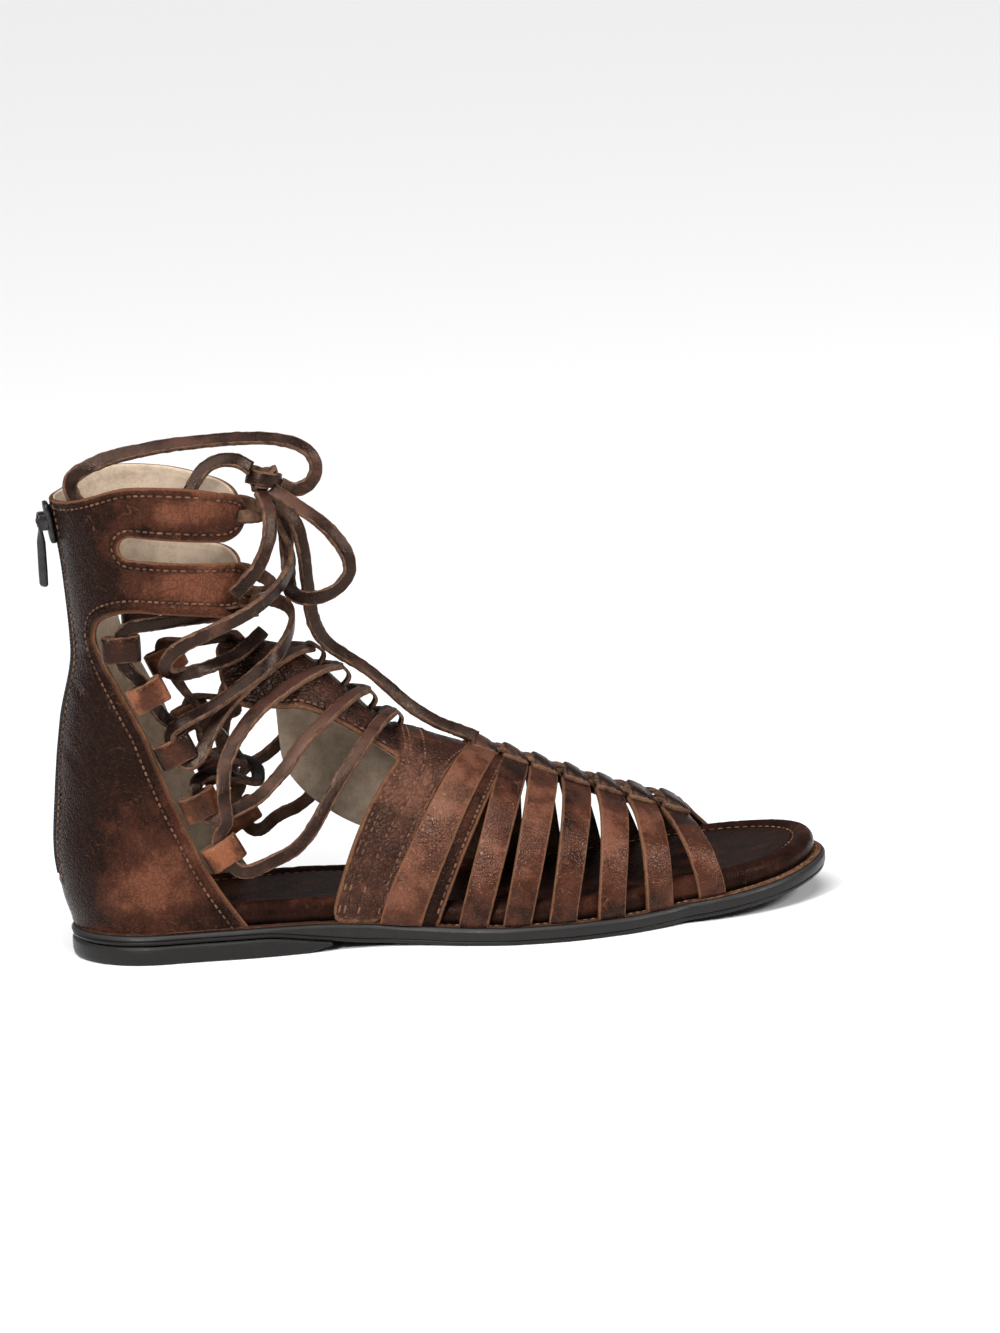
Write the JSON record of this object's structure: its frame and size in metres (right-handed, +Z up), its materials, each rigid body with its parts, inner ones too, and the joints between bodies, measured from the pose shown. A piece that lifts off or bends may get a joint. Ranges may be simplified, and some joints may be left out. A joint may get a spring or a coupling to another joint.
{
  "type": "gladiator sandal",
  "caption": "Flat open-toed lace-up sandal with a strapped vamp, a two-strap ankle shaft with a back zip, and a long flat leather lace tied in front.",
  "frame": {"origin": "under the middle of the sandal, on the ground plane", "axes": "+X from the heel to the toe, +Y to the inner side of the foot, +Z up"},
  "size_m": [0.2616, 0.099, 0.1726],
  "materials": {
    "leather": "waxed chocolate brown with worn chestnut patches and a fine pebbled grain",
    "loop_leather": "chestnut brown, folded, with raw tan cut edges",
    "insole_leather": "dark brown, smooth and burnished",
    "lace_leather": "dark brown flat-cut lace, satin, with rough fibrous edges",
    "rubber": "near-black, matt, with a buffed edge",
    "zip_tape": "dark brown woven tape under a closed chain",
    "zip_metal": "gunmetal plating, slightly worn"
  },
  "bodies": {
    "sandal": {"outsole": "rubber", "heel_lift": "rubber", "footbed": "insole_leather", "vamp": "leather", "quarter": "leather", "zip_tape": "zip_tape", "zip_slider": "zip_metal", "lace_loop_outer_1": "loop_leather", "lace_loop_inner_1": "loop_leather", "lace_loop_outer_2": "loop_leather", "lace_loop_inner_2": "loop_leather", "lace_loop_outer_3": "loop_leather", "lace_loop_inner_3": "loop_leather", "lace_loop_outer_4": "loop_leather", "lace_loop_inner_4": "loop_leather", "lace_loop_outer_5": "loop_leather", "lace_loop_inner_5": "loop_leather", "lace_keeper_1": "leather", "lace_keeper_2": "leather", "lace_keeper_3": "leather", "lace_keeper_4": "leather", "lace_bar_1": "lace_leather", "lace_bar_2": "lace_leather", "lace_bar_3": "lace_leather", "lace_bar_4": "lace_leather", "lace_run_1": "lace_leather", "lace_run_2": "lace_leather", "lace_cross_1": "lace_leather", "lace_cross_2": "lace_leather", "lace_knot": "lace_leather", "lace_bow_collar": "lace_leather", "lace_bow_side": "lace_leather", "lace_end_short": "lace_leather", "lace_end_long": "lace_leather"},
    "zip_pull": {"zip_pull": "zip_metal"}
  },
  "joints": [
    {"name": "zip_pull_swing", "type": "hinge", "parent": "sandal", "child": "zip_pull", "pos_m": [-0.12914, -0.00504, 0.147], "axis": [0, 1, 0], "range_deg": [0, 165]}
  ]
}
